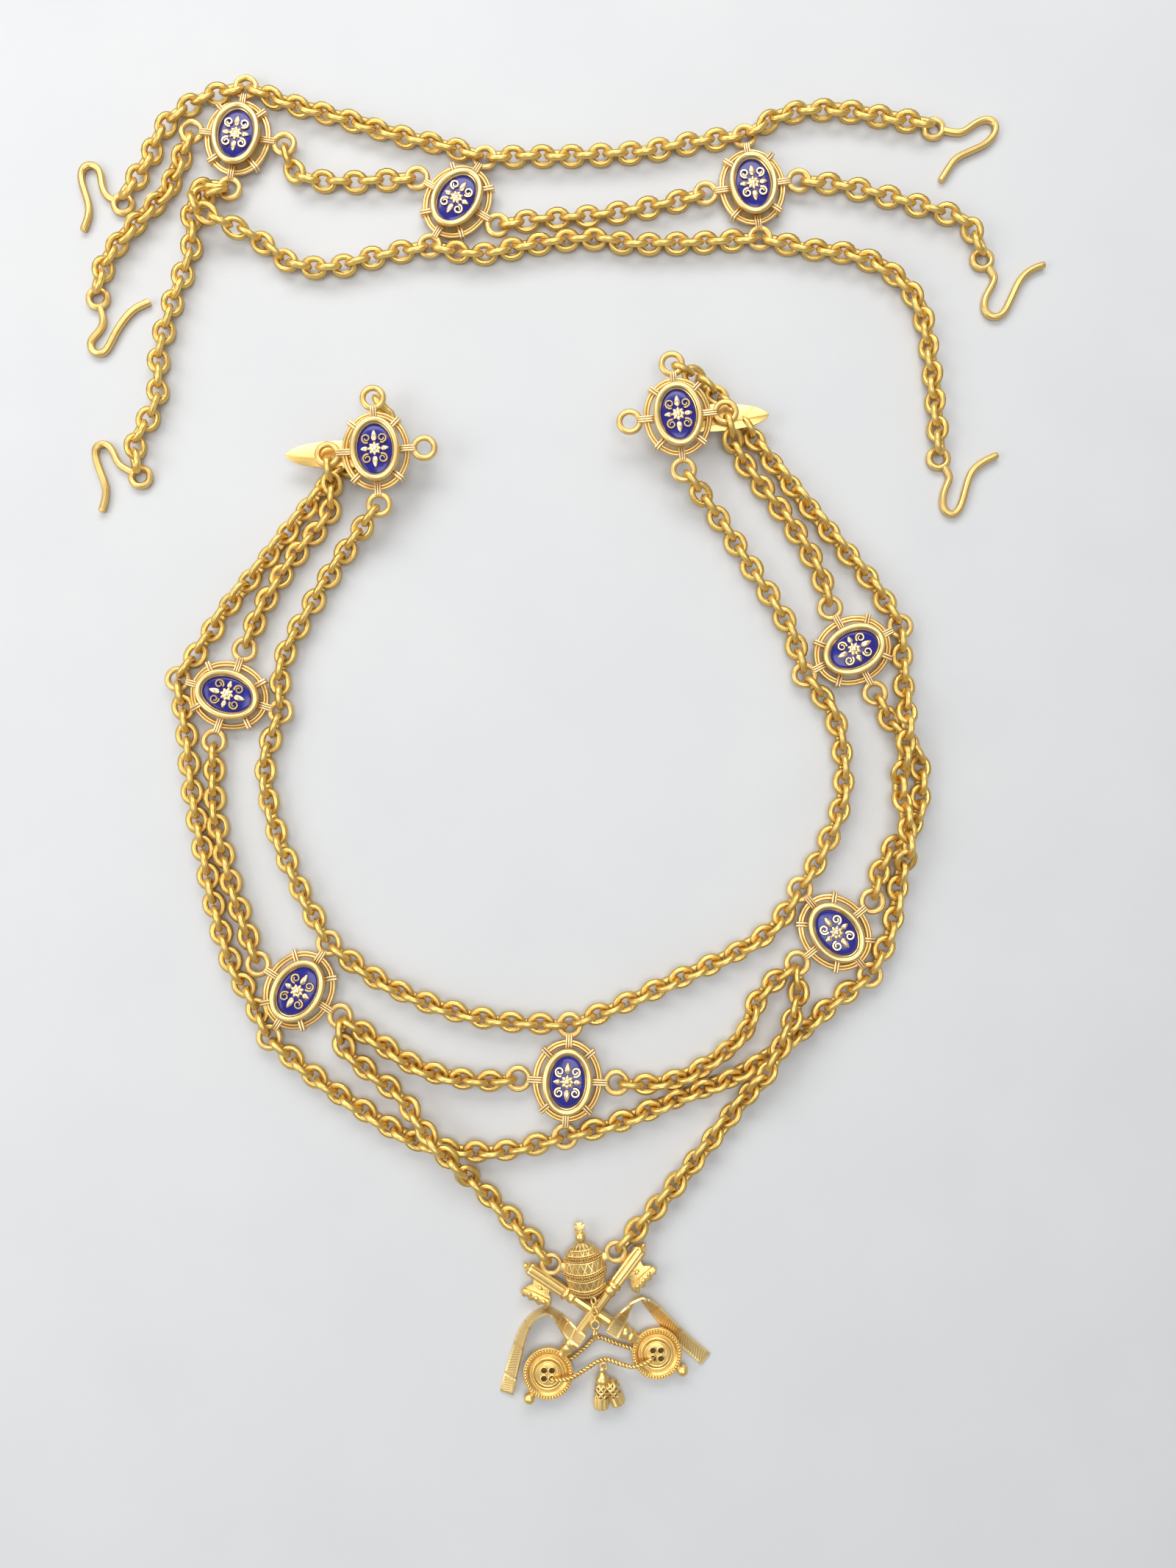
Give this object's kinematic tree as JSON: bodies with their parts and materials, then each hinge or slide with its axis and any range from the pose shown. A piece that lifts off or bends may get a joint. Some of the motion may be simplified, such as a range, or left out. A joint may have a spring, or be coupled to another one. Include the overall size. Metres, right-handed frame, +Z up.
{
  "type": "chain collar",
  "caption": "Ceremonial collar of cable chain rows between oval enamelled medallions, with a badge of a crown over crossed keys and S-shaped hooks on the separate back section.",
  "frame": {"origin": "middle of the base of the whole collar as it lies on the table", "axes": "+Z up from the table, +Y from the badge towards the back section, +X to the right as it is seen from above"},
  "size_m": [0.3644, 0.4916, 0.0142],
  "materials": {
    "gilt": "satin gilt",
    "antique_gilt": "aged gilt",
    "blue_enamel": "polished opaque enamel"
  },
  "bodies": {
    "root": {"medallion_back_left": "antique_gilt", "enamel_back_left": "blue_enamel", "ornament_back_left": "gilt", "medallion_back_middle": "antique_gilt", "enamel_back_middle": "blue_enamel", "ornament_back_middle": "gilt", "medallion_back_right": "antique_gilt", "enamel_back_right": "blue_enamel", "ornament_back_right": "gilt", "medallion_end_left": "antique_gilt", "enamel_end_left": "blue_enamel", "ornament_end_left": "gilt", "medallion_side_left": "antique_gilt", "enamel_side_left": "blue_enamel", "ornament_side_left": "gilt", "medallion_lower_left": "antique_gilt", "enamel_lower_left": "blue_enamel", "ornament_lower_left": "gilt", "medallion_centre": "antique_gilt", "enamel_centre": "blue_enamel", "ornament_centre": "gilt", "medallion_lower_right": "antique_gilt", "enamel_lower_right": "blue_enamel", "ornament_lower_right": "gilt", "medallion_side_right": "antique_gilt", "enamel_side_right": "blue_enamel", "ornament_side_right": "gilt", "medallion_end_right": "antique_gilt", "enamel_end_right": "blue_enamel", "ornament_end_right": "gilt", "hook_top_left": "gilt", "hook_mid_left": "gilt", "hook_bottom_left": "gilt", "hook_top_right": "gilt", "hook_mid_right": "gilt", "hook_bottom_right": "gilt", "chain_back_top": "gilt", "chain_back_middle_1": "gilt", "chain_back_middle_2": "gilt", "chain_back_middle_3": "gilt", "chain_back_middle_4": "gilt", "chain_back_bottom": "gilt", "chain_inner": "gilt", "chain_middle_1": "gilt", "chain_middle_2": "gilt", "chain_middle_3": "gilt", "chain_middle_4": "gilt", "chain_middle_5": "gilt", "chain_middle_6": "gilt", "chain_outer": "gilt", "chain_badge_left": "gilt", "chain_badge_right": "gilt", "badge": "gilt", "hanger": "gilt", "twist_upper": "gilt", "twist_lower": "gilt", "tassel": "gilt"}
  },
  "joints": []
}
